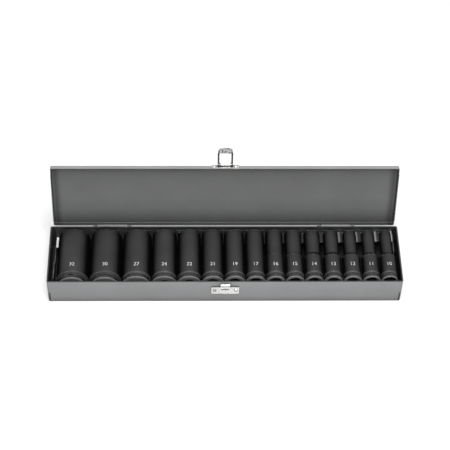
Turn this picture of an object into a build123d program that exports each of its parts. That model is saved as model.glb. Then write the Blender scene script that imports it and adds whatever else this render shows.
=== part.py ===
from build123d import *
import os
from math import sqrt

# A hinged tray case of folded sheet steel, its lid standing open, with fifteen deep
# square-drive sockets lying side by side in a folded rack.
# Millimetres. +X is right, -Y is the front, +Z is up. The origin is the centre of the underside.

os.makedirs("parts", exist_ok=True)

# Sockets: size over the flats, body diameter and nose diameter, from left to right
sockets = [
    (32, 42.6, 42.6),
    (30, 42.0, 42.0),
    (27, 38.4, 38.4),
    (24, 33.2, 33.2),
    (22, 31.0, 31.0),
    (21, 29.0, 29.0),
    (19, 27.2, 27.2),
    (17, 25.8, 25.8),
    (16, 24.8, 23.6),
    (15, 24.5, 23.0),
    (14, 24.5, 21.5),
    (13, 24.5, 20.0),
    (12, 24.5, 18.5),
    (11, 23.4, 17.5),
    (10, 22.0, 16.0),
]
socket_length = 80.5
socket_gap = 0.8
crown_rise = 4.0
row_width = sum(body for size, body, nose in sockets) + (len(sockets) - 1) * socket_gap

# Case tray, sized round the row of sockets
sheet = 0.8
row_left_gap = 9.1
row_right_gap = 4.1
front_gap = 6.0
rear_gap = 7.5
case_width = row_left_gap + row_width + row_right_gap + 4 * sheet
case_depth = front_gap + socket_length + rear_gap
case_height = 42.0
corner_radius = 2.5
floor_bend = 1.6
hem_height = 6.0
first_socket_x = 2 * sheet + row_left_gap + (sockets[0][1] - case_width) / 2
front_y = -case_depth / 2
rear_y = case_depth / 2

# Lid, drawn shut over the case and then turned open about its hinge
lid_angle = 103.0
lid_side_gap = 2.6
lid_rim_gap = 0.3
lid_flange = 7.0
lid_tongue = 2.3
lid_tongue_length = 76.0
lid_corner = 2.5
lid_width = case_width - 4 * sheet - 2 * lid_side_gap
lid_bottom = case_height + lid_rim_gap
lid_top = lid_bottom + lid_flange

# Butt hinges on the rear wall
hinge_inset = 82.5
hinge_x = case_width / 2 - hinge_inset
hinge_barrel = 1.7
hinge_pin = 0.95
hinge_knuckle = 12.4
hinge_play = 0.4
hinge_leaf_drop = 12.0
hinge_cut_gap = 0.4
stop_ear = 6.0
stop_length = 9.0
stop_gap = 0.2
running_gap = 0.05
hinge_length = 3 * hinge_knuckle + 2 * hinge_play
hinge_y = rear_y + sheet / 2
hinge_z = case_height + lid_rim_gap / 2

# Latch
plate = 1.0
plate_corner = 2.0
strike_width = 36.3
strike_height = 14.7
strike_drop = 9.4
strike_top = case_height - strike_drop
hook_width = 12.1
hook_drop = 2.5
hook_height = 9.5
hook_top = case_height - hook_drop
hook_lip = hook_top - hook_height
hook_reach = 4.0
hook_round = 1.8
hasp_plate_width = 37.0
hasp_plate_inset = 0.2
hasp_plate_low = lid_bottom + hasp_plate_inset
hasp_plate_high = lid_top - hasp_plate_inset
hasp_width = 20.2
hasp_bar = 2.4
hasp_sheet = 1.2
hasp_window = 17.6
hasp_length = 26.0
hasp_tip_radius = 6.5
hasp_barrel = 1.6
hasp_pin_radius = 0.85
hasp_tongue = 11.3
hasp_gap = 0.3
hasp_root = 2.6
hasp_cut = 2.7
hasp_window_round = 1.0
hasp_rise = 5.0
hasp_z = case_height + hasp_rise
hasp_y = front_y - plate - hasp_gap - hasp_barrel

# Rivets
rivet_radius = 1.5
rivet_hole = rivet_radius + running_gap
rivet_head_radius = 2.6
rivet_head_height = 1.3
rivet_head_round = 1.1
rivet_tail_radius = 2.4
rivet_tail_height = 0.8
strike_rivet_x = 13.8
strike_rivet_z = strike_top - strike_height / 2
hasp_rivet_x = 14.0
hasp_rivet_drop = 0.3
hasp_rivet_z = (lid_bottom + lid_top) / 2 - hasp_rivet_drop

# Socket details
drive_end_limit = 37.6
drive_end_step = 2.5
socket_start_y = front_y + front_gap
socket_crown = case_height + crown_rise
drive_square = 12.9
drive_depth = 16.0
drive_mouth_radius = 9.1
drive_mouth_depth = 1.6
web_thickness = 4.0
web_hole_radius = 4.0
hex_depth = 26.0
hex_play = 0.2
hex_chamfer = 1.4
hex_relief = 0.97
face_chamfer = 1.0
face_inset = 1.2
nose_inset = 0.9
groove_start = 4.7
groove_end = 7.7
groove_depth = 1.2
groove_wall = 0.3
shoulder_end = 9.7
nose_start = 37.5
nose_taper = 2.0
pin_hole_radius = 1.5

# Rack
rack_sheet = 1.0
seat_gap = 0.3
floor_top = sheet
comb_reach = 19.0
comb_root = 5.0
comb_front_y = rear_y - comb_reach
comb_back_y = rear_y - sheet - rack_sheet
comb_rail_y = rear_y - comb_root
comb_left_drop = 26.0
comb_right_drop = 14.0
comb_left_z = socket_crown - comb_left_drop
comb_right_z = socket_crown - comb_right_drop
comb_flange_drop = 6.3
comb_flange_top = case_height - comb_flange_drop
end_plate_inset = 6.1
rack_end_x = case_width / 2 - end_plate_inset
end_plate_gap = 0.1
end_rear_gap = 7.0
saddle_inset = 18.0
saddle_y = front_y + saddle_inset
saddle_left_drop = 28.0
saddle_right_drop = 17.0
saddle_left_z = socket_crown - saddle_left_drop
saddle_right_z = socket_crown - saddle_right_drop
foot_depth = 11.0
end_foot_width = 9.0
end_foot_length = 56.0
left_end_drop = 15.0
left_end_low_drop = 24.0
right_end_drop = 9.0
right_end_low_drop = 16.0
left_end_high = case_height - left_end_drop
left_end_low = case_height - left_end_low_drop
right_end_high = case_height - right_end_drop
right_end_low = case_height - right_end_low_drop
left_end_step_y = 0.0
right_end_step_y = 9.0
rear_rivet_inset = 37.5
rear_rivet_half_pitch = 60.0
rear_rivet_x = (rear_rivet_inset - case_width / 2, -rear_rivet_half_pitch, rear_rivet_half_pitch)
rear_rivet_drop = 5.5
rear_rivet_z = comb_flange_top - rear_rivet_drop
foot_rivet_inset = 54.5
foot_rivet_half_pitch = 62.0
outer_foot_rivet_x = case_width / 2 - foot_rivet_inset
foot_rivet_x = (-outer_foot_rivet_x, -foot_rivet_half_pitch, foot_rivet_half_pitch, outer_foot_rivet_x)
end_rivet_y = (-20.0, 20.0)

lid_turn = Axis((0, hinge_y, hinge_z), (-1, 0, 0))


def save(piece, name):
    """Label one finished piece and write it as its own file."""
    piece.label = name
    export_step(piece, "parts/" + name + ".step")


def sheet_rivet(grip, flush):
    """One rivet on Z: round head above z=0, shank through the grip, then a tail or a flush end."""
    with BuildPart() as rivet:
        with BuildSketch(Plane.XY):
            Circle(rivet_head_radius)
        extrude(amount=rivet_head_height)
        fillet(rivet.faces().sort_by(Axis.Z)[-1].edges(), rivet_head_round)
        with BuildSketch(Plane.XY):
            Circle(rivet_radius)
        extrude(amount=-grip)
        if not flush:
            with BuildSketch(Plane.XY.offset(-grip)):
                Circle(rivet_tail_radius)
            extrude(amount=-rivet_tail_height)
    return rivet.part


def socket_centres():
    """Each socket's size, diameters and axis position, chained from the first by the body gap."""
    placed = []
    x = first_socket_x
    for index, (size, body, nose) in enumerate(sockets):
        if index > 0:
            x += (sockets[index - 1][1] + body) / 2 + socket_gap
        placed.append((size, body, nose, x, socket_crown - body / 2))
    return placed


placed_sockets = socket_centres()
last_socket_x = placed_sockets[-1][3]


def slope_z(x, left_z, right_z):
    """Height at x of a line that runs between the first and last socket axes."""
    share = (x - first_socket_x) / (last_socket_x - first_socket_x)
    return left_z + share * (right_z - left_z)


# Case shell: tray with round upright corners and the rim folded in on itself
with BuildPart() as case_shell:
    with BuildSketch(Plane.XY):
        RectangleRounded(case_width, case_depth, corner_radius)
    extrude(amount=case_height)
    fillet(case_shell.faces().sort_by(Axis.Z)[0].edges(), floor_bend)
    with BuildPart(mode=Mode.PRIVATE) as hollow:
        with BuildSketch(Plane.XY.offset(sheet)):
            RectangleRounded(case_width - 2 * sheet, case_depth - 2 * sheet, corner_radius - sheet)
        extrude(amount=case_height - hem_height - sheet)
        fillet(hollow.faces().sort_by(Axis.Z)[0].edges(), floor_bend - sheet)
        with BuildSketch(Plane.XY.offset(case_height - hem_height)):
            RectangleRounded(case_width - 4 * sheet, case_depth - 4 * sheet, corner_radius - 2 * sheet)
        extrude(amount=hem_height)
    add(hollow.part, mode=Mode.SUBTRACT)
    # Rim notches let the hinge barrels half into the rear wall
    notch_depth = hinge_barrel + hinge_cut_gap + lid_rim_gap / 2
    for side in (-1, 1):
        with Locations((side * hinge_x, rear_y, case_height)):
            Box(hinge_length + 2 * hinge_cut_gap, 6 * sheet, 2 * notch_depth - lid_rim_gap, mode=Mode.SUBTRACT)
    # Rivet holes for the strike, the comb and the feet
    with Locations(*[Location((s * strike_rivet_x, front_y, strike_rivet_z), (90, 0, 0)) for s in (-1, 1)]):
        Cylinder(rivet_hole, 6 * sheet, mode=Mode.SUBTRACT)
    with Locations(*[Location((x, rear_y, rear_rivet_z), (90, 0, 0)) for x in rear_rivet_x]):
        Cylinder(rivet_hole, 6 * sheet, mode=Mode.SUBTRACT)
    with Locations(*[(x, saddle_y + foot_depth / 2 + rack_sheet, 0) for x in foot_rivet_x]):
        Cylinder(rivet_hole, 4 * sheet, mode=Mode.SUBTRACT)
    end_rivet_x = rack_end_x - end_foot_width / 2 - rack_sheet / 2
    with Locations(*[(s * end_rivet_x, y, 0) for s in (-1, 1) for y in end_rivet_y]):
        Cylinder(rivet_hole, 4 * sheet, mode=Mode.SUBTRACT)

# The end walls are wrapped round the corners and welded to the pan of floor, front and rear
seam_x = case_width / 2 - corner_radius
with BuildPart() as case_pan:
    add(case_shell.part)
    split(bisect_by=Plane.YZ.offset(seam_x), keep=Keep.BOTTOM)
    split(bisect_by=Plane.YZ.offset(-seam_x), keep=Keep.TOP)
save(case_pan.part, "case_pan")

with BuildPart() as case_end_left:
    add(case_shell.part)
    split(bisect_by=Plane.YZ.offset(-seam_x), keep=Keep.BOTTOM)
save(case_end_left.part, "case_end_left")

with BuildPart() as case_end_right:
    add(case_shell.part)
    split(bisect_by=Plane.YZ.offset(seam_x), keep=Keep.TOP)
save(case_end_right.part, "case_end_right")


# Lid shell: shallow tray whose side flanges drop inside the case walls
with BuildPart() as lid_shell:
    with BuildSketch(Plane.XY.offset(lid_bottom)):
        RectangleRounded(lid_width, case_depth, lid_corner)
    extrude(amount=lid_flange)
    fillet(lid_shell.faces().sort_by(Axis.Z)[-1].edges(), floor_bend)
    with BuildPart(mode=Mode.PRIVATE) as lid_hollow:
        with BuildSketch(Plane.XY.offset(lid_bottom)):
            RectangleRounded(lid_width - 2 * sheet, case_depth - 2 * sheet, lid_corner - sheet)
        extrude(amount=lid_flange - sheet)
        fillet(lid_hollow.faces().sort_by(Axis.Z)[-1].edges(), floor_bend - sheet)
    add(lid_hollow.part, mode=Mode.SUBTRACT)
    with BuildSketch(Plane.XY.offset(lid_bottom - lid_tongue)):
        with Locations(((lid_width - sheet) / 2, 0), ((sheet - lid_width) / 2, 0)):
            Rectangle(sheet, lid_tongue_length)
    extrude(amount=lid_tongue + sheet)
    for side in (-1, 1):
        with Locations((side * hinge_x, rear_y, lid_bottom)):
            Box(hinge_length + 2 * hinge_cut_gap, 3 * sheet, 2 * notch_depth - lid_rim_gap, mode=Mode.SUBTRACT)
    with Locations(*[Location((s * hasp_rivet_x, front_y, hasp_rivet_z), (90, 0, 0)) for s in (-1, 1)]):
        Cylinder(rivet_hole, 6 * sheet, mode=Mode.SUBTRACT)

# The lid's top is a panel with a rolled edge, welded along the foot of the roll to a rim of flanges
lid_seam_z = lid_top - floor_bend
with BuildPart() as lid_panel:
    add(lid_shell.part)
    split(bisect_by=Plane.XY.offset(lid_seam_z), keep=Keep.TOP)
lid_panel.part = lid_panel.part.rotate(lid_turn, lid_angle)
save(lid_panel.part, "lid_panel")

with BuildPart() as lid_rim:
    add(lid_shell.part)
    split(bisect_by=Plane.XY.offset(lid_seam_z), keep=Keep.BOTTOM)
lid_rim.part = lid_rim.part.rotate(lid_turn, lid_angle)
save(lid_rim.part, "lid_rim")


def knuckle(x, length):
    """One rolled hinge knuckle around the rear hinge axis."""
    with BuildPart() as rolled:
        with BuildSketch(Plane.YZ.offset(x - length / 2)):
            with Locations((hinge_y, hinge_z)):
                Circle(hinge_barrel)
                Circle(hinge_pin + running_gap, mode=Mode.SUBTRACT)
        extrude(amount=length)
    return rolled.part


def case_leaf(x):
    """The leaf on the rear wall with its two outer knuckles."""
    pitch = hinge_knuckle + hinge_play
    with BuildPart() as leaf:
        with BuildSketch(Plane.XZ.offset(-rear_y)) as drop:
            with Locations((x, hinge_z)):
                Rectangle(hinge_length, hinge_leaf_drop, align=(Align.CENTER, Align.MAX))
            fillet(drop.vertices().sort_by(Axis.Y)[:2], plate_corner)
            with Locations((x, hinge_z)):
                Rectangle(hinge_knuckle + 2 * hinge_play, 2 * (hinge_barrel + hinge_cut_gap), mode=Mode.SUBTRACT)
        extrude(amount=-sheet)
        with BuildSketch(Plane.YZ.offset(x - hinge_length / 2)):
            with Locations((hinge_y, hinge_z)):
                Circle(hinge_pin + running_gap)
        extrude(amount=hinge_length, mode=Mode.SUBTRACT)
        add(knuckle(x - pitch, hinge_knuckle))
        add(knuckle(x + pitch, hinge_knuckle))
    return leaf.part


def lid_leaf(x):
    """The leaf on the lid's rear flange with its middle knuckle and two stop ears."""
    leaf_top = lid_top - floor_bend
    ear_x = hinge_length / 2 + hinge_play
    with BuildPart() as leaf:
        with BuildSketch(Plane.XZ.offset(-rear_y)):
            with Locations((x, leaf_top)):
                Rectangle(2 * (ear_x + stop_ear), leaf_top - lid_bottom, align=(Align.CENTER, Align.MAX))
            with Locations((x, hinge_z)):
                Rectangle(hinge_length + 2 * hinge_play, 2 * (hinge_barrel + hinge_cut_gap), mode=Mode.SUBTRACT)
            with Locations((x, hinge_z)):
                Rectangle(hinge_knuckle, leaf_top - hinge_z, align=(Align.CENTER, Align.MIN))
        extrude(amount=-sheet)
        with BuildSketch(Plane.YZ.offset(x - hinge_knuckle / 2)):
            with Locations((hinge_y, hinge_z)):
                Circle(hinge_pin + running_gap)
        extrude(amount=hinge_knuckle, mode=Mode.SUBTRACT)
        add(knuckle(x, hinge_knuckle))
        # Each ear is bent so that it lies flat on the rear wall when the lid stands open
        for start in (x - ear_x - stop_ear, x + ear_x):
            with BuildSketch(Plane.YZ.offset(start)):
                with Locations(Location((hinge_y, hinge_z), lid_angle - 90)):
                    with Locations((0, stop_gap - sheet / 2)):
                        Rectangle(stop_length, sheet, align=(Align.MIN, Align.MIN))
            extrude(amount=stop_ear)
    return leaf.part.rotate(lid_turn, lid_angle)


for side_name, side in (("left", -1), ("right", 1)):
    save(case_leaf(side * hinge_x), "hinge_case_leaf_" + side_name)
    save(lid_leaf(side * hinge_x), "hinge_lid_leaf_" + side_name)
    with BuildPart() as pin:
        with BuildSketch(Plane.YZ.offset(side * hinge_x - hinge_length / 2 - hinge_play / 2)):
            with Locations((hinge_y, hinge_z)):
                Circle(hinge_pin)
        extrude(amount=hinge_length + hinge_play)
    save(pin.part, "hinge_pin_" + side_name)


# Strike plate with its hook, on the front wall
with BuildPart() as strike_plate:
    with BuildSketch(Plane.XZ.offset(-front_y)):
        with Locations((0, strike_rivet_z)):
            RectangleRounded(strike_width, strike_height, plate_corner)
        with Locations((-strike_rivet_x, strike_rivet_z), (strike_rivet_x, strike_rivet_z)):
            Circle(rivet_hole, mode=Mode.SUBTRACT)
    extrude(amount=plate)
    with BuildSketch(Plane.YZ.offset(-hook_width / 2)) as hook:
        with Locations((front_y, hook_top)):
            Rectangle(hook_reach, hook_top - hook_lip, align=(Align.MAX, Align.MAX))
        fillet(hook.vertices().sort_by(Axis.Y)[-2:].sort_by(Axis.X)[0], hook_round)
        with BuildSketch(mode=Mode.PRIVATE) as throat:
            with Locations((front_y - plate, hook_top - plate)):
                Rectangle(hook_reach - 2 * plate, hook_top - hook_lip, align=(Align.MAX, Align.MAX))
            fillet(throat.vertices().sort_by(Axis.Y)[-2:].sort_by(Axis.X)[0], hook_round - plate)
        add(throat.sketch, mode=Mode.SUBTRACT)
    extrude(amount=hook_width)
save(strike_plate.part, "strike_plate")

wall_rivet = sheet_rivet(plate + sheet, False)
with BuildPart() as strike_rivets:
    for side in (-1, 1):
        spot = Location((side * strike_rivet_x, front_y - plate, strike_rivet_z), (90, 0, 0))
        add(wall_rivet.moved(spot))
save(strike_rivets.part, "strike_rivets")


# Hasp hinge plate on the lid's front flange, its middle tongue curled round the pin
with BuildPart() as hasp_hinge_plate:
    with BuildSketch(Plane.XZ.offset(-front_y)):
        with Locations((0, (hasp_plate_low + hasp_plate_high) / 2)):
            RectangleRounded(hasp_plate_width, hasp_plate_high - hasp_plate_low, plate_corner)
        with Locations((-hasp_rivet_x, hasp_rivet_z), (hasp_rivet_x, hasp_rivet_z)):
            Circle(rivet_hole, mode=Mode.SUBTRACT)
    extrude(amount=plate)
    with BuildSketch(Plane.YZ.offset(-hasp_tongue / 2)):
        with Locations((front_y, hasp_z + hasp_barrel)):
            Rectangle(front_y - hasp_y, plate, align=(Align.MAX, Align.MAX))
        with Locations((hasp_y, hasp_z)):
            Circle(hasp_barrel)
            Circle(hasp_pin_radius + running_gap, mode=Mode.SUBTRACT)
    extrude(amount=hasp_tongue)
hasp_hinge_plate.part = hasp_hinge_plate.part.rotate(lid_turn, lid_angle)
save(hasp_hinge_plate.part, "hasp_hinge_plate")

with BuildPart() as hasp_plate_rivets:
    for side in (-1, 1):
        spot = Location((side * hasp_rivet_x, front_y - plate, hasp_rivet_z), (90, 0, 0))
        add(wall_rivet.moved(spot))
hasp_plate_rivets.part = hasp_plate_rivets.part.rotate(lid_turn, lid_angle)
save(hasp_plate_rivets.part, "hasp_plate_rivets")


# Hasp: an open frame with a round thumb tab, two side knuckles and a heel that stops it upright
with BuildPart() as hasp_frame:
    with BuildSketch(Plane.XY.offset(hasp_z - hasp_sheet / 2)) as outline:
        with Locations((0, hasp_y)):
            Rectangle(hasp_width, hasp_length, align=(Align.CENTER, Align.MAX))
        fillet(outline.vertices().sort_by(Axis.Y)[:2], hasp_tip_radius)
        with BuildSketch(mode=Mode.PRIVATE) as window:
            with Locations((0, hasp_y - hasp_root)):
                Rectangle(
                    hasp_width - 2 * hasp_bar, hasp_window - hasp_root, align=(Align.CENTER, Align.MAX)
                )
            fillet(window.vertices(), hasp_window_round)
        add(window.sketch, mode=Mode.SUBTRACT)
        with Locations((0, hasp_y)):
            Rectangle(hasp_tongue + 2 * hasp_gap, 2 * hasp_cut, mode=Mode.SUBTRACT)
    extrude(amount=hasp_sheet)
    knuckle_length = (hasp_width - hasp_tongue) / 2 - hasp_gap
    for start in (-hasp_width / 2, hasp_width / 2 - knuckle_length):
        with BuildSketch(Plane.YZ.offset(start)):
            with Locations((hasp_y, hasp_z)):
                Circle(hasp_barrel)
                Rectangle(hasp_barrel + hasp_gap - 0.1, hasp_barrel, align=(Align.MIN, Align.MIN))
        extrude(amount=knuckle_length)
    with BuildSketch(Plane.YZ.offset(-hasp_width / 2)):
        with Locations((hasp_y, hasp_z)):
            Circle(hasp_pin_radius + running_gap)
    extrude(amount=hasp_width, mode=Mode.SUBTRACT)
hasp_frame.part = hasp_frame.part.rotate(lid_turn, lid_angle)
save(hasp_frame.part, "hasp_frame")

with BuildPart() as hasp_pin:
    with BuildSketch(Plane.YZ.offset(-hasp_width / 2 - hasp_gap)):
        with Locations((hasp_y, hasp_z)):
            Circle(hasp_pin_radius)
    extrude(amount=hasp_width + 2 * hasp_gap)
hasp_pin.part = hasp_pin.part.rotate(lid_turn, lid_angle)
save(hasp_pin.part, "hasp_pin")


def build_socket(size, body, nose, x, z):
    """A deep square-drive socket along +Y from its drive face."""
    axial = Plane(origin=(x, socket_start_y, z), x_dir=(0, 1, 0), z_dir=(1, 0, 0))
    facing = Plane(origin=(x, socket_start_y, z), x_dir=(1, 0, 0), z_dir=(0, 1, 0))
    centre_line = Axis((x, socket_start_y, z), (0, 1, 0))
    body_r = body / 2
    nose_r = nose / 2
    land_r = max(min(body_r, drive_end_limit / 2), body_r - drive_end_step)
    flat_r = (size + hex_play) / 2
    hex_r = flat_r * 2 / sqrt(3)
    bore_r = flat_r * hex_relief
    web_end = drive_depth + web_thickness
    outline = [(0, 0), (0, land_r - face_inset), (face_chamfer, land_r), (groove_start, land_r)]
    outline += [(groove_start + groove_wall, land_r - groove_depth), (groove_end, land_r - groove_depth)]
    outline += [(shoulder_end, body_r)]
    if nose < body:
        outline += [(nose_start, body_r), (nose_start + nose_taper, nose_r)]
    outline += [(socket_length - face_chamfer, nose_r), (socket_length, nose_r - nose_inset), (socket_length, 0)]
    bores = [(0, 0), (0, drive_mouth_radius), (drive_mouth_depth, drive_mouth_radius - drive_mouth_depth)]
    bores += [(drive_mouth_depth, web_hole_radius), (web_end, web_hole_radius), (web_end, bore_r)]
    bores += [(socket_length - hex_chamfer, bore_r), (socket_length, hex_r), (socket_length, 0)]
    with BuildPart() as socket:
        with BuildSketch(axial):
            with BuildLine():
                Polyline(*outline, close=True)
            make_face()
        revolve(axis=centre_line)
        with BuildSketch(axial):
            with BuildLine():
                Polyline(*bores, close=True)
            make_face()
        revolve(axis=centre_line, mode=Mode.SUBTRACT)
        with BuildSketch(facing):
            Rectangle(drive_square, drive_square)
        extrude(amount=drive_depth, mode=Mode.SUBTRACT)
        with BuildSketch(facing.offset(socket_length - hex_depth)):
            RegularPolygon(hex_r, 6)
        extrude(amount=hex_depth, mode=Mode.SUBTRACT)
        # Cross hole of the retaining pin, in the middle of the ring groove
        with Locations(Location((x, socket_start_y + (groove_start + groove_end) / 2, z), (0, 90, 0))):
            Cylinder(pin_hole_radius, body + 2, mode=Mode.SUBTRACT)
    return socket.part


for size, body, nose, x, z in placed_sockets:
    save(build_socket(size, body, nose, x, z), "socket_" + str(size))


# Comb rail: flange on the rear wall and a narrow shelf that slopes with the socket sizes
comb_stop_x = rack_end_x - rack_sheet - end_plate_gap


def comb_z(x):
    """Height at x of the top of the sloping shelf."""
    return slope_z(x, comb_left_z, comb_right_z)


with BuildPart() as comb_rail:
    with BuildSketch(Plane.XZ.offset(sheet - rear_y)):
        with BuildLine():
            Polyline(
                (-comb_stop_x, comb_flange_top),
                (-comb_stop_x, comb_z(-comb_stop_x) - rack_sheet),
                (comb_stop_x, comb_z(comb_stop_x) - rack_sheet),
                (comb_stop_x, comb_flange_top),
                close=True,
            )
        make_face()
    extrude(amount=rack_sheet)
    with BuildSketch(Plane.XZ.offset(-comb_back_y)):
        with BuildLine():
            Polyline(
                (-comb_stop_x, comb_z(-comb_stop_x)),
                (-comb_stop_x, comb_z(-comb_stop_x) - rack_sheet),
                (comb_stop_x, comb_z(comb_stop_x) - rack_sheet),
                (comb_stop_x, comb_z(comb_stop_x)),
                close=True,
            )
        make_face()
    extrude(amount=comb_back_y - comb_rail_y)
    with Locations(*[Location((x, rear_y - sheet, rear_rivet_z), (90, 0, 0)) for x in rear_rivet_x]):
        Cylinder(rivet_hole, 4 * rack_sheet, mode=Mode.SUBTRACT)
save(comb_rail.part, "comb_rail")

# Comb fingers: plates welded on the shelf, their sides cut round to cradle the far ends
with BuildPart() as comb_fingers:
    with BuildSketch(Plane.XZ.offset(-comb_back_y)):
        with BuildLine():
            Polyline(
                (-comb_stop_x, comb_z(-comb_stop_x)),
                (comb_stop_x, comb_z(comb_stop_x)),
                (comb_stop_x, comb_z(comb_stop_x) + rack_sheet),
                (-comb_stop_x, comb_z(-comb_stop_x) + rack_sheet),
                close=True,
            )
        make_face()
        for size, body, nose, x, z in placed_sockets:
            with Locations((x, z)):
                Circle(nose / 2 + seat_gap, mode=Mode.SUBTRACT)
    extrude(amount=comb_back_y - comb_front_y)
save(comb_fingers.part, "comb_fingers")


# Front saddle: an upright with round seats under the drive ends, on a floor foot
with BuildPart() as front_saddle:
    with BuildSketch(Plane.XZ.offset(-saddle_y - rack_sheet)):
        with BuildLine():
            Polyline(
                (-comb_stop_x, floor_top),
                (comb_stop_x, floor_top),
                (comb_stop_x, slope_z(comb_stop_x, saddle_left_z, saddle_right_z)),
                (-comb_stop_x, slope_z(-comb_stop_x, saddle_left_z, saddle_right_z)),
                close=True,
            )
        make_face()
        for size, body, nose, x, z in placed_sockets:
            with Locations((x, z)):
                Circle(body / 2 + seat_gap, mode=Mode.SUBTRACT)
    extrude(amount=rack_sheet)
    with BuildSketch(Plane.XY.offset(floor_top)):
        with Locations((0, saddle_y + rack_sheet)):
            Rectangle(2 * (comb_stop_x - end_foot_width - 1), foot_depth, align=(Align.CENTER, Align.MIN))
        with Locations(*[(x, saddle_y + foot_depth / 2 + rack_sheet) for x in foot_rivet_x]):
            Circle(rivet_hole, mode=Mode.SUBTRACT)
    extrude(amount=rack_sheet)
save(front_saddle.part, "front_saddle")


def rack_end(side, front_height, rear_height, step_y):
    """A side plate of the rack with a stepped top edge and a foot turned inwards."""
    end_front_y = saddle_y
    end_rear_y = rear_y - end_rear_gap
    inner_x = rack_end_x - rack_sheet
    with BuildPart() as end:
        with BuildSketch(Plane.YZ.offset(min(side * rack_end_x, side * inner_x))):
            with BuildLine():
                Polyline(
                    (end_front_y, floor_top),
                    (end_rear_y, floor_top),
                    (end_rear_y, rear_height),
                    (step_y + 1, rear_height),
                    (step_y - 1, front_height),
                    (end_front_y, front_height),
                    close=True,
                )
            make_face()
        extrude(amount=rack_sheet)
        with BuildSketch(Plane.XY.offset(floor_top)):
            with Locations((side * (inner_x - end_foot_width / 2), 0)):
                Rectangle(end_foot_width, end_foot_length)
            with Locations(*[(side * end_rivet_x, y) for y in end_rivet_y]):
                Circle(rivet_hole, mode=Mode.SUBTRACT)
        extrude(amount=rack_sheet)
    return end.part


save(rack_end(-1, left_end_high, left_end_low, left_end_step_y), "rack_end_left")
save(rack_end(1, right_end_low, right_end_high, right_end_step_y), "rack_end_right")

comb_rivet = sheet_rivet(sheet + rack_sheet, False)
foot_rivet = sheet_rivet(sheet + rack_sheet, True)
with BuildPart() as rack_rivets:
    for x in rear_rivet_x:
        add(comb_rivet.moved(Location((x, rear_y, rear_rivet_z), (-90, 0, 0))))
    for x in foot_rivet_x:
        add(foot_rivet.moved(Location((x, saddle_y + foot_depth / 2 + rack_sheet, floor_top + rack_sheet))))
    for side in (-1, 1):
        for y in end_rivet_y:
            add(foot_rivet.moved(Location((side * end_rivet_x, y, floor_top + rack_sheet))))
save(rack_rivets.part, "rack_rivets")
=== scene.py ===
import bpy
import bmesh
from math import cos, pi, radians, sin
from mathutils import Matrix, Vector


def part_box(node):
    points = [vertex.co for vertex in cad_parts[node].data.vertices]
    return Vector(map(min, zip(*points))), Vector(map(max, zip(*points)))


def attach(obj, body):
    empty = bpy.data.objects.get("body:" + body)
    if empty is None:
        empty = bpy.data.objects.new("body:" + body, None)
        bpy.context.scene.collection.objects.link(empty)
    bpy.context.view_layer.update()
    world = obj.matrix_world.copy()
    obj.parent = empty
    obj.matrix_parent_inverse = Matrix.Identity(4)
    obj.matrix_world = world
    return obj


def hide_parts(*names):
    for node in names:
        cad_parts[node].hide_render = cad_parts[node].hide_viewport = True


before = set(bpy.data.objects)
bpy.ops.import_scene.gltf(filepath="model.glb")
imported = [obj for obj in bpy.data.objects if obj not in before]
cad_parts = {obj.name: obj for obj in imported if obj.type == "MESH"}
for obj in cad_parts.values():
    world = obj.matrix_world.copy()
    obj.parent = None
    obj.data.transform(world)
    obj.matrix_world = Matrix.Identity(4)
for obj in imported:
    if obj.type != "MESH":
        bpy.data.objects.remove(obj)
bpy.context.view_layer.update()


# Camera: the photograph's view, 50 degrees down, turned and rolled by about two degrees.
# A pinhole fit to the case outline gave the focal length, the aim and the distance.
focal_pixels = 1462.35
photo_pixels = 450
down = radians(50.517)
yaw = radians(2.293)
roll = radians(1.732)
aim = Vector((-0.0028, -0.04579, 0.15724))
distance = 1.81419
ahead = Vector((sin(yaw) * cos(down), cos(yaw) * cos(down), -sin(down)))
right = Vector((cos(yaw), -sin(yaw), 0))
above = right.cross(ahead)
rolled_right = right * cos(roll) + above * sin(roll)
rolled_above = above * cos(roll) - right * sin(roll)
camera_data = bpy.data.cameras.new("camera")
camera_data.sensor_width = 36
camera_data.lens = focal_pixels / photo_pixels * camera_data.sensor_width
camera = bpy.data.objects.new("camera", camera_data)
camera_turn = Matrix((rolled_right, rolled_above, -ahead)).transposed().to_4x4()
camera.matrix_world = Matrix.Translation(aim - ahead * distance) @ camera_turn
bpy.context.collection.objects.link(camera)
bpy.context.scene.camera = camera
bpy.context.scene.view_settings.view_transform = "Standard"


# Floor, world and light: white paper under a large soft light from above, with a second one low in
# front on the right. The paper is lifted to white for the camera alone. Camera, glossy and
# transmission rays see a plain white world, and all others a dimmer one.
floor_reach = 6
floor_drop = 0.0003
paper_white = (0.62, 0.62, 0.62, 1)
paper_lift = 0.46
dim_world = 0.24
lamp_target = Vector((0, 0, 0.05))
lamps = (
    ("soft_top", (0.05, -0.45, 1.50), 0.9, 28),
    ("soft_front", (0.9, -2.6, 0.9), 1.6, 17),
)


def feed(tree, socket, value):
    """Give a node's input a plain value or another node's output."""
    if isinstance(value, bpy.types.NodeSocket):
        tree.links.new(value, socket)
    else:
        socket.default_value = value


def maths(tree, operation, *values, clamped=False):
    """The result of one maths node over the given values."""
    node = tree.nodes.new("ShaderNodeMath")
    node.operation = operation
    node.use_clamp = clamped
    for socket, value in zip(node.inputs, values):
        feed(tree, socket, value)
    return node.outputs[0]


def ramp(tree, value, span, onto=(0, 1)):
    """A value moved from one span onto another and held inside it."""
    node = tree.nodes.new("ShaderNodeMapRange")
    feed(tree, node.inputs["Value"], value)
    for name, end in zip(("From Min", "From Max", "To Min", "To Max"), (*span, *onto)):
        feed(tree, node.inputs[name], end)
    return node.outputs[0]


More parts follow.
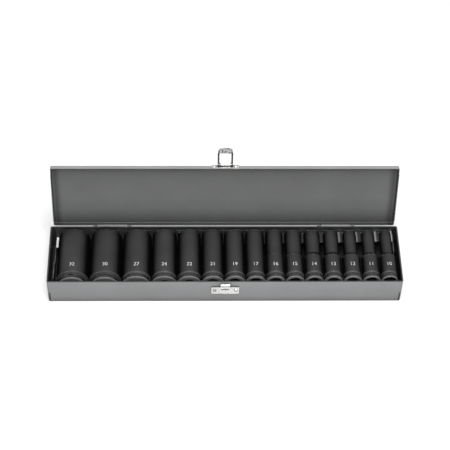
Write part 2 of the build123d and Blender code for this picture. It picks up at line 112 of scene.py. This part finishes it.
paper = bpy.data.materials.new("floor_paper")
paper.use_nodes = True
tree = paper.node_tree
shader = tree.nodes["Principled BSDF"]
shader.inputs["Base Color"].default_value = paper_white
shader.inputs["Roughness"].default_value = 0.9
shader.inputs["Specular IOR Level"].default_value = 0.1
shader.inputs["Emission Color"].default_value = (1, 1, 1, 1)
rays = tree.nodes.new("ShaderNodeLightPath").outputs
feed(tree, shader.inputs["Emission Strength"], maths(tree, "MULTIPLY", rays["Is Camera Ray"], paper_lift))

corners = ((-1, -1), (1, -1), (1, 1), (-1, 1))
floor_mesh = bpy.data.meshes.new("floor")
floor_places = [(x * floor_reach, y * floor_reach, -floor_drop) for x, y in corners]
floor_mesh.from_pydata(floor_places, [], [(0, 1, 2, 3)])
floor_mesh.materials.append(paper)
floor = bpy.data.objects.new("floor", floor_mesh)
bpy.context.collection.objects.link(floor)

world = bpy.data.worlds.new("studio")
world.use_nodes = True
bpy.context.scene.world = world
tree = world.node_tree
background = tree.nodes["Background"]
background.inputs["Color"].default_value = (1, 1, 1, 1)
rays = tree.nodes.new("ShaderNodeLightPath").outputs
seen = maths(tree, "MAXIMUM", rays["Is Camera Ray"], rays["Is Glossy Ray"])
seen = maths(tree, "MAXIMUM", seen, rays["Is Transmission Ray"])
feed(tree, background.inputs["Strength"], ramp(tree, seen, (0, 1), (dim_world, 1)))

for name, place, width, power in lamps:
    lamp_data = bpy.data.lights.new(name, "AREA")
    lamp_data.shape = "SQUARE"
    lamp_data.size = width
    lamp_data.energy = power
    lamp = bpy.data.objects.new(name, lamp_data)
    lamp.location = place
    lamp.rotation_euler = (Vector(place) - lamp_target).to_track_quat("Z", "Y").to_euler()
    bpy.context.collection.objects.link(lamp)


# Case, lid and hinges: folded sheet steel in a semi-gloss grey powder coat, rubbed lighter along its
# edges, with painted shade that darkens the walls towards their foot and every recess. The ends are
# wrapped round the corners and welded, with a dark seam low at each. Inside, the coat is darker: near
# black in the case, which is painted shade, and in the lid with painted shade at hinge and sides and a
# painted highlight along the lip of each side.
outer_grey = (0.285, 0.288, 0.292, 1)
# The case's inner coat is near black: painted shade inside the case.
case_inner_shade = (0.042, 0.043, 0.045, 1)
lid_inner_grey = (0.150, 0.152, 0.154, 1)
hinge_inner_grey = (0.16, 0.162, 0.165, 1)
rubbed_grey = (0.50, 0.51, 0.53, 1)
coat_mottle = (0.94, 1.05)
coat_roughness = (0.36, 0.46)
wall_height = 0.042
foot_shade = 0.76
seam_across = 0.2300
seam_half_width = 0.0010
seam_top = 0.0190
seam_dark = 0.9
over_case = (0, 0, 0.075)
lid_low, lid_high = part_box("lid_rim")
lid_middle = [(low + high) / 2 for low, high in zip(lid_low, lid_high)]
# Painted shade and highlight on the inner coat, by height and to the sides, as straight lines through
# (place, tone) points: the lid darkens towards the hinge and its sides, with a bright line at the lip's
# edge
lightest_tone = 1.2
even_tone = ((0.0, 1.0), (0.25, 1.0))
lid_shade_up = (
    (0.0, 0.30), (0.0423, 0.30), (0.0474, 0.50), (0.0542, 0.64), (0.0644, 0.85), (0.0814, 0.90),
    (0.1000, 0.80), (0.1150, 0.69), (0.1330, 0.67), (0.25, 0.67),
)
lid_shade_across = (
    (0.0, 1.0), (0.2160, 1.0), (0.2215, 0.55), (0.2240, 0.50), (0.2252, 1.15), (0.2262, 0.50), (0.25, 0.50),
)


def node_group(name, kind, inputs, outputs):
    """A node group with named inputs and outputs, and its two ends."""
    group = bpy.data.node_groups.new(name, kind)
    for side, sockets in (("INPUT", inputs), ("OUTPUT", outputs)):
        for label, sort in sockets:
            group.interface.new_socket(label, in_out=side, socket_type="NodeSocket" + sort)
    return group, group.nodes.new("NodeGroupInput").outputs, group.nodes.new("NodeGroupOutput").inputs


def noise(tree, place, scale, detail, roughness=0.5):
    """A noise over the given place, from 0 to 1."""
    node = tree.nodes.new("ShaderNodeTexNoise")
    node.inputs["Detail"].default_value = detail
    node.inputs["Roughness"].default_value = roughness
    feed(tree, node.inputs["Scale"], scale)
    feed(tree, node.inputs["Vector"], place)
    return node.outputs[0]


def vector_maths(tree, operation, first, second):
    """The result of one vector maths node: a number for a dot product, else a vector."""
    node = tree.nodes.new("ShaderNodeVectorMath")
    node.operation = operation
    feed(tree, node.inputs[0], first)
    feed(tree, node.inputs[1], second)
    return node.outputs["Value" if operation == "DOT_PRODUCT" else "Vector"]


def tint(tree, colour, brightness):
    """A colour made darker or lighter."""
    node = tree.nodes.new("ShaderNodeHueSaturation")
    feed(tree, node.inputs["Color"], colour)
    feed(tree, node.inputs["Value"], brightness)
    return node.outputs[0]


def blend(tree, share, first, second):
    """Two colours mixed by a share of the second, which a mix of colours takes at its sockets 6 and 7."""
    node = tree.nodes.new("ShaderNodeMix")
    node.data_type = "RGBA"
    for number, value in ((0, share), (6, first), (7, second)):
        feed(tree, node.inputs[number], value)
    return node.outputs[2]


def curve_at(tree, value, points, top=1.0):
    """The height at a value, on straight lines through (value, height) points under the top."""
    first, last = points[0][0], points[-1][0]
    curve = tree.nodes.new("ShaderNodeFloatCurve")
    line = curve.mapping.curves[0]
    line.points[0].location = (0, points[0][1] / top)
    line.points[1].location = (1, points[-1][1] / top)
    for at, height in points[1:-1]:
        line.points.new((at - first) / (last - first), height / top)
    for point in line.points:
        point.handle_type = "VECTOR"
    curve.mapping.update()
    feed(tree, curve.inputs["Value"], ramp(tree, value, (first, last)))
    return maths(tree, "MULTIPLY", curve.outputs[0], top)


def axes_of(tree, place):
    """The X, Y and Z of a place."""
    node = tree.nodes.new("ShaderNodeSeparateXYZ")
    feed(tree, node.inputs[0], place)
    return node.outputs


def effect(tree, group, values):
    """The outputs of a shared effect, placed in a material with its own values."""
    node = tree.nodes.new("ShaderNodeGroup")
    node.node_tree = group
    for name, value in values.items():
        feed(tree, node.inputs[name], value)
    return node.outputs


def new_finish(name):
    """A material, its node tree and its shader."""
    finish = bpy.data.materials.new(name)
    finish.use_nodes = True
    return finish, finish.node_tree, finish.node_tree.nodes["Principled BSDF"]


def surface(tree, shader, colour, roughness, normal):
    """Feed the shader the three things that change over the surface."""
    tree.links.new(colour, shader.inputs["Base Color"])
    tree.links.new(roughness, shader.inputs["Roughness"])
    tree.links.new(normal, shader.inputs["Normal"])


def dress(finish, *names):
    """Put a finish in the material slots of the named nodes."""
    for name in names:
        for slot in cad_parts[name].material_slots:
            slot.material = finish


# Grain of a coated, plated or bare surface: a slow tone, a fine speckle and the normal of the grain.
# Both tones reach from 0 to 1 over the span in which most of the noise lies.
noise_span = (0.3, 0.7)
surface_grain, given, out = node_group(
    "surface_grain", "ShaderNodeTree",
    (("Place", "Vector"), ("Grains per metre", "Float"), ("Depth", "Float")),
    (("Tone", "Float"), ("Speckle", "Float"), ("Normal", "Vector")),
)
slow = noise(surface_grain, given["Place"], scale=26, detail=4, roughness=0.6)
fine = noise(surface_grain, given["Place"], scale=given["Grains per metre"], detail=3)
bump = surface_grain.nodes.new("ShaderNodeBump")
bump.inputs["Strength"].default_value = 0.5
feed(surface_grain, bump.inputs["Height"], fine)
feed(surface_grain, bump.inputs["Distance"], given["Depth"])
feed(surface_grain, out["Tone"], ramp(surface_grain, slow, noise_span))
feed(surface_grain, out["Speckle"], ramp(surface_grain, fine, noise_span))
feed(surface_grain, out["Normal"], bump.outputs[0])

# Wear along edges: 1 where a rounded normal leaves the face's own normal, broken up by noise.
edge_agreement = (0.985, 0.90)
patch_span = (0.36, 0.62)
edge_wear, given, out = node_group(
    "edge_wear", "ShaderNodeTree",
    (("Place", "Vector"), ("Width", "Float")),
    (("Mask", "Float"),),
)
bevel = edge_wear.nodes.new("ShaderNodeBevel")
bevel.samples = 6
feed(edge_wear, bevel.inputs["Radius"], given["Width"])
own_normal = edge_wear.nodes.new("ShaderNodeNewGeometry").outputs["Normal"]
agreement = vector_maths(edge_wear, "DOT_PRODUCT", bevel.outputs[0], own_normal)
edge = ramp(edge_wear, agreement, edge_agreement)
patches = ramp(edge_wear, noise(edge_wear, given["Place"], scale=190, detail=4), patch_span)
feed(edge_wear, out["Mask"], maths(edge_wear, "MULTIPLY", edge, patches))

# Painted shade in recesses: 1 in the open, down to 0 where the surroundings within reach close in, standing
# in for the shade that falls in corners and gaps.
painted_recess_shade, given, out = node_group(
    "painted_recess_shade", "ShaderNodeTree",
    (("Reach", "Float"), ("Closed", "Float"), ("Open", "Float")),
    (("Unshaded", "Float"),),
)
openness = painted_recess_shade.nodes.new("ShaderNodeAmbientOcclusion")
openness.samples = 8
openness.only_local = False
feed(painted_recess_shade, openness.inputs["Distance"], given["Reach"])
unshaded = ramp(painted_recess_shade, openness.outputs["AO"], (given["Closed"], given["Open"]))
feed(painted_recess_shade, out["Unshaded"], unshaded)


def powder_coat(name, middle, inner_grey, recess_darkest, wear_share, shade_up=even_tone, shade_across=even_tone):
    """Grey coat, with its inner colour on the faces that look at the given middle point."""
    coat, tree, shader = new_finish(name)
    shader.inputs["Specular IOR Level"].default_value = 0.45
    texture = tree.nodes.new("ShaderNodeTexCoord").outputs
    place = texture["Object"]
    axes = axes_of(tree, place)
    across = maths(tree, "ABSOLUTE", axes["X"])
    grain = effect(tree, surface_grain, {"Place": place, "Grains per metre": 1100, "Depth": 0.00006})
    wear = effect(tree, edge_wear, {"Place": place, "Width": 0.0007})
    recess = effect(tree, painted_recess_shade, {"Reach": 0.014, "Closed": 0.35, "Open": 0.95})

    at_corner = maths(tree, "COMPARE", across, seam_across, seam_half_width)
    in_seam = maths(tree, "MULTIPLY", at_corner, maths(tree, "LESS_THAN", axes["Z"], seam_top))
    seam_tone = maths(tree, "MULTIPLY_ADD", in_seam, -seam_dark, 1.0)
    # Painted shade: the outer coat darkens towards the foot of the walls.
    wall_foot_shade = ramp(tree, axes["Z"], (0, wall_height), (foot_shade, 1))
    outer = tint(tree, outer_grey, maths(tree, "MULTIPLY", wall_foot_shade, seam_tone))

    # Painted shade and highlight on the inner coat, by height and to the sides.
    up = curve_at(tree, axes["Z"], shade_up, lightest_tone)
    sideways = curve_at(tree, across, shade_across, lightest_tone)
    inner = tint(tree, inner_grey, maths(tree, "MULTIPLY", up, sideways))
    inward = vector_maths(tree, "SUBTRACT", middle, place)
    facing = vector_maths(tree, "DOT_PRODUCT", inward, texture["Normal"])
    sides = blend(tree, maths(tree, "GREATER_THAN", facing, 0), outer, inner)

    # Painted shade: the coat darkens in recesses and corners, down to its darkest share.
    darkened = ramp(tree, recess["Unshaded"], (0, 1), (recess_darkest, 1))
    shade = maths(tree, "MULTIPLY", darkened, ramp(tree, grain["Tone"], (0, 1), coat_mottle))
    worn = maths(tree, "MULTIPLY", wear["Mask"], wear_share)
    colour = blend(tree, worn, tint(tree, sides, shade), rubbed_grey)
    surface(tree, shader, colour, ramp(tree, grain["Speckle"], (0, 1), coat_roughness), grain["Normal"])
    return coat


case_coat = powder_coat("case_coat", over_case, case_inner_shade, recess_darkest=0.35, wear_share=0.04)
lid_coat = powder_coat(
    "lid_coat", lid_middle, lid_inner_grey, recess_darkest=0.6, wear_share=0.12,
    shade_up=lid_shade_up, shade_across=lid_shade_across,
)
hinge_coat = powder_coat("hinge_coat", over_case, hinge_inner_grey, recess_darkest=0.3, wear_share=0.2)
dress(case_coat, "case_pan", "case_end_left", "case_end_right")
dress(lid_coat, "lid_panel", "lid_rim")
dress(hinge_coat, "hinge_case_leaf_left", "hinge_case_leaf_right")
dress(hinge_coat, "hinge_lid_leaf_left", "hinge_lid_leaf_right")


# Rack and fingers: folded sheet in a dark grey coat, riveted into the tray. Handling has rubbed the
# rack's edges to bright steel. The fingers show painted light instead: a bright sliver beside each
# small socket and at the left end, where light falls between the sockets.
rack_grey = 0.030
finger_grey = 0.014
coat_blue = 1.06
bare_and_lit_steel = (0.90, 0.90, 0.89, 1)
rack_mottle = (0.88, 1.08)
rack_roughness = (0.42, 0.54)
rack_half_span = 0.25
lit_sliver_edge = 0.0001
lit_sliver_spans = (
    (-0.2255, -0.2222, 1.0), (0.1040, 0.1050, 0.06), (0.1290, 0.1299, 0.08), (0.1532, 0.1543, 0.18),
    (0.1775, 0.1788, 0.22), (0.2016, 0.2046, 0.26), (0.2240, 0.2256, 0.5),
)
coated = [(-rack_half_span, 0.0), (rack_half_span, 0.0)]
lit_slivers = coated[:1]
for low_x, high_x, share in lit_sliver_spans:
    lit_slivers += [(low_x - lit_sliver_edge, 0.0), (low_x, share), (high_x, share), (high_x + lit_sliver_edge, 0.0)]
lit_slivers += coated[1:]


def sheet_coat(name, grey, edge_share, lit_at):
    """Dark coat with a share of bare steel along its edges, and painted light, coloured as bright steel, at
    the given places across.
    """
    coat, tree, shader = new_finish(name)
    place = tree.nodes.new("ShaderNodeTexCoord").outputs["Object"]
    grain = effect(tree, surface_grain, {"Place": place, "Grains per metre": 900, "Depth": 0.00005})
    wear = effect(tree, edge_wear, {"Place": place, "Width": 0.0006})
    mottled = tint(tree, (grey, grey, grey * coat_blue, 1), ramp(tree, grain["Tone"], (0, 1), rack_mottle))
    # Painted light: bright slivers at the given places across.
    lit_sliver = curve_at(tree, axes_of(tree, place)["X"], lit_at)
    bare_and_lit = maths(tree, "MULTIPLY_ADD", wear["Mask"], edge_share, lit_sliver, clamped=True)
    colour = blend(tree, bare_and_lit, mottled, bare_and_lit_steel)
    surface(tree, shader, colour, ramp(tree, grain["Speckle"], (0, 1), rack_roughness), grain["Normal"])
    return coat


rack_coat = sheet_coat("rack_coat", rack_grey, edge_share=0.35, lit_at=coated)
finger_coat = sheet_coat("finger_coat", finger_grey, edge_share=0.0, lit_at=lit_slivers)
dress(rack_coat, "comb_rail", "front_saddle", "rack_end_left", "rack_end_right", "rack_rivets")
dress(finger_coat, "comb_fingers")


# Latch and pins: zinc plate, bright on the strike and hinge plate, dulled and blotched on the hasp
# and rivets. Rivets hold the plates. Painted shade darkens the recesses, the mouth under the strike's
# hook and the lines beside and above it are painted shadow, and the hasp's bars are darker. The grain
# is stretched along X, the way the strip was rolled.
rolled_grain = (0.12, 1, 1)
rubbed_zinc = (0.90, 0.90, 0.89, 1)
rubbed_share = 0.4
roughness_spread = 0.12
stain_span = (0.46, 0.62)
recess_shade_tone = 0.12
# Darkened spots, each a span to both sides of the middle, a span in height and how dark it is; on the
# strike they are painted shadow at the hook
hook_shadow_spots = (
    (0.0, 0.0052, 0.0294, 0.0317, 0.95),
    (0.0, 0.0065, 0.0382, 0.0400, 0.45),
    (0.0062, 0.0182, 0.0318, 0.0330, 0.7),
)
bar_spots = ((0.0075, 0.0110, 0.1300, 0.1550, 0.8),)


def zinc_plate(name, cloudy, bright, roughness, stain, dark_spots=()):
    """Zinc that goes from cloudy to bright, with small stains, painted shade in its recesses and the given
    darkened spots.
    """
    zinc, tree, shader = new_finish(name)
    shader.inputs["Metallic"].default_value = 1.0
    place = tree.nodes.new("ShaderNodeTexCoord").outputs["Object"]
    axes = axes_of(tree, place)
    across = maths(tree, "ABSOLUTE", axes["X"])
    rolled = vector_maths(tree, "MULTIPLY", place, rolled_grain)
    grain = effect(tree, surface_grain, {"Place": rolled, "Grains per metre": 2200, "Depth": 0.00003})
    wear = effect(tree, edge_wear, {"Place": place, "Width": 0.0005})
    recess = effect(tree, painted_recess_shade, {"Reach": 0.004, "Closed": 0.40, "Open": 0.78})

    stain_and_shade = ramp(tree, noise(tree, place, scale=420, detail=2), stain_span, (1, 1 - stain))
    for low_x, high_x, low_z, high_z, dark in dark_spots:
        in_width = maths(tree, "COMPARE", across, (low_x + high_x) / 2, (high_x - low_x) / 2)
        in_height = maths(tree, "COMPARE", axes["Z"], (low_z + high_z) / 2, (high_z - low_z) / 2)
        in_spot = maths(tree, "MULTIPLY", in_width, in_height)
        stain_and_shade = maths(tree, "MULTIPLY", stain_and_shade, maths(tree, "MULTIPLY_ADD", in_spot, -dark, 1.0))
    # Painted shade: darker in the recesses round the hook and rivets.
    stain_and_shade = maths(tree, "MULTIPLY", stain_and_shade, ramp(tree, recess["Unshaded"], (0, 1), (recess_shade_tone, 1)))
    darkened = tint(tree, blend(tree, grain["Tone"], cloudy, bright), stain_and_shade)
    colour = blend(tree, maths(tree, "MULTIPLY", wear["Mask"], rubbed_share), darkened, rubbed_zinc)
    gloss = ramp(tree, grain["Speckle"], (0, 1), (roughness, roughness + roughness_spread))
    surface(tree, shader, colour, gloss, grain["Normal"])
    return zinc


zinc_strike = zinc_plate(
    "zinc_strike", cloudy=(0.88, 0.88, 0.86, 1), bright=(0.99, 0.99, 0.97, 1),
    roughness=0.28, stain=0.28, dark_spots=hook_shadow_spots,
)
zinc_plain = zinc_plate(
    "zinc_plain", cloudy=(0.62, 0.62, 0.60, 1), bright=(0.82, 0.82, 0.80, 1),
    roughness=0.28, stain=0.35,
)
zinc_hasp = zinc_plate(
    "zinc_hasp", cloudy=(0.44, 0.44, 0.43, 1), bright=(0.72, 0.72, 0.71, 1),
    roughness=0.34, stain=0.75, dark_spots=bar_spots,
)
zinc_rivet = zinc_plate(
    "zinc_rivet", cloudy=(0.55, 0.55, 0.54, 1), bright=(0.85, 0.85, 0.84, 1),
    roughness=0.30, stain=0.8,
)
dress(zinc_strike, "strike_plate")
dress(zinc_plain, "hasp_hinge_plate", "hinge_pin_left", "hinge_pin_right")
dress(zinc_hasp, "hasp_frame", "hasp_pin")
dress(zinc_rivet, "strike_rivets", "hasp_plate_rivets")


# Sockets: alloy steel turned on a lathe, black phosphated and rubbed a little on the shoulder and the
# drive face, with painted shade that blackens them in the gaps between. They lie loose in the rack.
# One lathe tree turns every socket, ring by ring, from its own radii.
black_low = (0.028, 0.028, 0.029, 1)
black_high = (0.038, 0.038, 0.039, 1)
rubbed_steel = (0.36, 0.36, 0.37, 1)
black_roughness = (0.42, 0.54)
gap_shade_tone = 0.02
shoulder_rub = 0.12
face_rub = 0.34
# Size over the flats, body width and nose width, all in millimetres
socket_sizes = (
    (32, 42.6, 42.6), (30, 42.0, 42.0), (27, 38.4, 38.4), (24, 33.2, 33.2), (22, 31.0, 31.0),
    (21, 29.0, 29.0), (19, 27.2, 27.2), (17, 25.8, 25.8), (16, 24.8, 23.6), (15, 24.5, 23.0),
    (14, 24.5, 21.5), (13, 24.5, 20.0), (12, 24.5, 18.5), (11, 23.4, 17.5), (10, 22.0, 16.0),
)
width_to_radius = 1 / 2000
widest_land = 37.6
deepest_land_step = 5.0
hex_play = 0.2
# In metres: starts and ends along the axis are counted from the drive face, depths from their own end
socket_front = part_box("socket_32")[0][1]
socket_length = 0.0805
face_chamfer = 0.0010
face_inset = 0.0012
groove_start = 0.0047
groove_floor = 0.0050
groove_end = 0.0077
groove_depth = 0.0012
shoulder_end = 0.0097
shoulder_round = 0.0003
nose_start = 0.0375
nose_end = 0.0385
nose_chamfer = 0.0010
nose_inset = 0.0009
hex_depth = 0.026
hex_chamfer = 0.0014
hex_relief_share = 0.97
web_end = 0.020
web_hole = 0.004
drive_depth = 0.016
drive_half_width = 0.00645
mouth_radius = 0.0091
mouth_depth = 0.0016
pin_hole_radius = 0.0015
pin_hole_reach = 0.05
pin_hole_sides = 24
turning = 96
weld_distance = 0.000002
smooth_angle = radians(28)
# The painted shadow behind the nose step fades in towards the small sockets, which have the highest steps
step_shadow_line = socket_front + nose_end + 0.0020
step_shadow_half_width = 0.0018
step_shadow_fade = (0.085, 0.125)

black, tree, shader = new_finish("socket_phosphate")
shader.inputs["Specular IOR Level"].default_value = 0.14
place = tree.nodes.new("ShaderNodeTexCoord").outputs["Object"]
axes = axes_of(tree, place)
grain = effect(tree, surface_grain, {"Place": place, "Grains per metre": 1500, "Depth": 0.00004})
wear = effect(tree, edge_wear, {"Place": place, "Width": 0.0006})
# Painted shade: the sockets darken to near black in the gaps between them.
gap_shade = effect(tree, painted_recess_shade, {"Reach": 0.030, "Closed": 0.66, "Open": 1.0})
shoulder_middle = socket_front + (groove_end + shoulder_end) / 2
on_shoulder = maths(tree, "COMPARE", axes["Y"], shoulder_middle, (shoulder_end - groove_end) / 2)
on_face = maths(tree, "COMPARE", axes["Y"], socket_front, face_inset)
rubbed = maths(tree, "MULTIPLY_ADD", on_shoulder, shoulder_rub, wear["Mask"], clamped=True)
rubbed = maths(tree, "MULTIPLY_ADD", on_face, face_rub, rubbed, clamped=True)
phosphate = blend(tree, grain["Tone"], black_low, black_high)
shaded_in_gaps = tint(tree, phosphate, ramp(tree, gap_shade["Unshaded"], (0, 1), (gap_shade_tone, 1)))
# Painted shadow behind the nose step.
on_step_shadow = maths(tree, "COMPARE", axes["Y"], step_shadow_line, step_shadow_half_width)
step_shadow = maths(tree, "MULTIPLY", on_step_shadow, ramp(tree, axes["X"], step_shadow_fade))
colour = tint(tree, blend(tree, rubbed, shaded_in_gaps, rubbed_steel), maths(tree, "SUBTRACT", 1.0, step_shadow))
surface(tree, shader, colour, ramp(tree, grain["Speckle"], (0, 1), black_roughness), grain["Normal"])

lathe, given, out = node_group(
    "socket_lathe", "GeometryNodeTree",
    (
        ("Flat radius", "Float"), ("Body radius", "Float"), ("Nose radius", "Float"),
        ("Land radius", "Float"), ("Centre", "Vector"), ("Finish", "Material"),
    ),
    (("Geometry", "Geometry"),),
)
lathe.is_modifier = True
flat = given["Flat radius"]
body = given["Body radius"]
nose = given["Nose radius"]
land = given["Land radius"]

# The blank is a flat grid, one unit wide about its middle: its X becomes the angle round the axis
# and its Y the number of the ring, which gives each point its place along the axis and its radius
grid = axes_of(lathe, lathe.nodes.new("GeometryNodeInputPosition").outputs[0])
angle = maths(lathe, "MULTIPLY", maths(lathe, "ADD", grid["X"], 0.5), 2 * pi)


def polygon_wall(at_angle, half_width, walls):
    """Radius at an angle of a regular polygon, from half its width over the flats."""
    wall_angle = 2 * pi / walls
    bend = maths(lathe, "SUBTRACT", maths(lathe, "FLOORED_MODULO", at_angle, wall_angle), wall_angle / 2)
    return maths(lathe, "DIVIDE", half_width, maths(lathe, "COSINE", bend))


hex_wall = polygon_wall(angle, flat, 6)
square_wall = polygon_wall(maths(lathe, "ADD", angle, pi / 4), drive_half_width, 4)
hex_corner = maths(lathe, "MULTIPLY", flat, 1 / cos(pi / 6))
relief = maths(lathe, "MULTIPLY", flat, hex_relief_share)
hex_fall = maths(lathe, "SUBTRACT", hex_corner, hex_wall)
hex_share = maths(lathe, "DIVIDE", hex_fall, maths(lathe, "SUBTRACT", hex_corner, relief))
hex_lip = maths(lathe, "MULTIPLY_ADD", hex_share, -hex_chamfer, socket_length)
square_fall = maths(lathe, "MAXIMUM", 0.0, maths(lathe, "SUBTRACT", mouth_radius, square_wall))
square_lip = maths(lathe, "MINIMUM", mouth_depth, square_fall)
groove_radius = maths(lathe, "SUBTRACT", land, groove_depth)
rings = [
    (0.0, mouth_radius),
    (0.0, maths(lathe, "SUBTRACT", land, face_inset)),
    (face_chamfer, land),
    (groove_start, land),
    (groove_floor, groove_radius),
    (groove_end, groove_radius),
    (shoulder_end - shoulder_round, maths(lathe, "SUBTRACT", body, shoulder_round)),
    (shoulder_end + shoulder_round, body),
    (nose_start, body),
    (nose_end, nose),
    (socket_length - nose_chamfer, nose),
    (socket_length, maths(lathe, "SUBTRACT", nose, nose_inset)),
    (socket_length, hex_corner),
    (hex_lip, hex_wall),
    (socket_length - hex_depth, hex_wall),
    (socket_length - hex_depth, relief),
    (web_end, relief),
    (web_end, web_hole),
    (drive_depth, web_hole),
    (drive_depth, square_wall),
    (square_lip, square_wall),
    (square_lip, maths(lathe, "MAXIMUM", square_wall, mouth_radius - mouth_depth)),
]
ring_count = len(rings)
rings_passed = maths(lathe, "MULTIPLY", maths(lathe, "ADD", grid["Y"], 0.5), ring_count)
ring_number = maths(lathe, "FLOORED_MODULO", maths(lathe, "ROUND", rings_passed), ring_count)
picks = []
for column in (0, 1):
    pick = lathe.nodes.new("GeometryNodeIndexSwitch")
    pick.data_type = "FLOAT"
    while len(pick.index_switch_items) < ring_count:
        pick.index_switch_items.new()
    feed(lathe, pick.inputs["Index"], ring_number)
    for ring, slot in zip(rings, [socket for socket in pick.inputs if socket.name != "Index"]):
        feed(lathe, slot, ring[column])
    picks.append(pick.outputs[0])
along, radius = picks
turned = lathe.nodes.new("ShaderNodeCombineXYZ")
feed(lathe, turned.inputs["X"], maths(lathe, "MULTIPLY", radius, maths(lathe, "COSINE", angle)))
feed(lathe, turned.inputs["Y"], along)
feed(lathe, turned.inputs["Z"], maths(lathe, "MULTIPLY", radius, maths(lathe, "SINE", angle)))


def lathe_step(kind, values, result="Geometry"):
    """One step of the lathe with its inputs fed, and what comes out of it."""
    node = lathe.nodes.new(kind)
    for name, value in values.items():
        feed(lathe, node.inputs[name], value)
    return node.outputs[result]


grid_size = {"Size X": 1, "Size Y": 1, "Vertices X": turning + 1, "Vertices Y": ring_count + 1}
blank = lathe_step("GeometryNodeMeshGrid", grid_size, "Mesh")
shape = lathe_step("GeometryNodeSetPosition", {"Geometry": blank, "Position": turned.outputs[0]})
welded = lathe_step("GeometryNodeMergeByDistance", {"Geometry": shape, "Distance": weld_distance})
pin_size = {"Vertices": pin_hole_sides, "Radius": pin_hole_radius, "Depth": pin_hole_reach}
pin = lathe_step("GeometryNodeMeshCylinder", pin_size, "Mesh")
pin_place = {"Translation": (0, (groove_start + groove_end) / 2, 0), "Rotation": (0, pi / 2, 0)}
cross_pin = lathe_step("GeometryNodeTransform", {"Geometry": pin, **pin_place})
drill = lathe.nodes.new("GeometryNodeMeshBoolean")
drill.operation = "DIFFERENCE"
feed(lathe, drill.inputs["Mesh 1"], welded)
feed(lathe, drill.inputs["Mesh 2"], cross_pin)
drilled = drill.outputs["Mesh"]
seated = lathe_step("GeometryNodeTransform", {"Geometry": drilled, "Translation": given["Centre"]})
realized = lathe_step("GeometryNodeRealizeInstances", {"Geometry": seated})
finished = lathe_step("GeometryNodeSetMaterial", {"Geometry": realized, "Material": given["Finish"]})
feed(lathe, out["Geometry"], finished)


def plain_mesh(piece):
    """The evaluated shape of a piece as a mesh of its own."""
    bpy.context.view_layer.update()
    return bpy.data.meshes.new_from_object(piece.evaluated_get(bpy.context.evaluated_depsgraph_get()))


socket_places = {}
for size, body_width, nose_width in socket_sizes:
    low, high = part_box("socket_" + str(size))
    centre = ((low[0] + high[0]) / 2, low[1], (low[2] + high[2]) / 2)
    socket_places[size] = (centre, body_width * width_to_radius)
    land_width = max(min(body_width, widest_land), body_width - deepest_land_step)
    piece = bpy.data.objects.new("socket_" + str(size) + "_turned", bpy.data.meshes.new("socket_blank"))
    bpy.context.collection.objects.link(piece)
    turner = piece.modifiers.new("lathe", "NODES")
    turner.node_group = lathe
    values = {
        "Flat radius": (size + hex_play) * width_to_radius,
        "Body radius": body_width * width_to_radius,
        "Nose radius": nose_width * width_to_radius,
        "Land radius": land_width * width_to_radius,
        "Centre": centre,
        "Finish": black,
    }
    for item in lathe.interface.items_tree:
        if item.name in values:
            turner[item.identifier] = values[item.name]
    mesh = plain_mesh(piece)
    piece.modifiers.remove(turner)
    piece.data = mesh
    form = bmesh.new()
    form.from_mesh(mesh)
    bmesh.ops.recalc_face_normals(form, faces=form.faces)
    form.to_mesh(mesh)
    form.free()
    mesh.shade_smooth()
    mesh.set_sharp_from_angle(angle=smooth_angle)
    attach(piece, "socket_" + str(size) + "_body")
    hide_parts("socket_" + str(size))


# Size numbers: pale numerals etched on each socket, a little behind its drive face. Each is a plain
# number set as text, wrapped round the body and lifted just proud of it.
number_height = 0.0052
height_share = 0.7
number_place = 0.021
number_proud = 0.00004
etch_low = (0.42, 0.42, 0.43, 1)
etch_high = (0.66, 0.66, 0.67, 1)
etch_roughness = (0.55, 0.75)

etch, tree, shader = new_finish("etched_number")
place = tree.nodes.new("ShaderNodeTexCoord").outputs["Object"]
grain = effect(tree, surface_grain, {"Place": place, "Grains per metre": 2600, "Depth": 0.00002})
colour = blend(tree, grain["Speckle"], etch_low, etch_high)
surface(tree, shader, colour, ramp(tree, grain["Tone"], (0, 1), etch_roughness), grain["Normal"])

for size, (centre, radius) in socket_places.items():
    text = bpy.data.curves.new("number", "FONT")
    text.body = str(size)
    text.align_x = "CENTER"
    text.align_y = "CENTER"
    text.size = number_height / height_share
    writer = bpy.data.objects.new("number", text)
    bpy.context.collection.objects.link(writer)
    mesh = plain_mesh(writer)
    bpy.data.objects.remove(writer)
    form = bmesh.new()
    form.from_mesh(mesh)
    bmesh.ops.triangulate(form, faces=form.faces)
    bmesh.ops.subdivide_edges(form, edges=form.edges, cuts=2, use_grid_fill=True)
    reach = radius + number_proud
    for vertex in form.verts:
        around = vertex.co.x / reach
        behind = centre[1] + number_place + vertex.co.y
        vertex.co = (centre[0] + reach * sin(around), behind, centre[2] + reach * cos(around))
    form.normal_update()
    form.to_mesh(mesh)
    form.free()
    mesh.materials.clear()
    mesh.materials.append(etch)
    piece = bpy.data.objects.new("number_" + str(size), mesh)
    bpy.context.collection.objects.link(piece)
    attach(piece, "socket_" + str(size) + "_body")
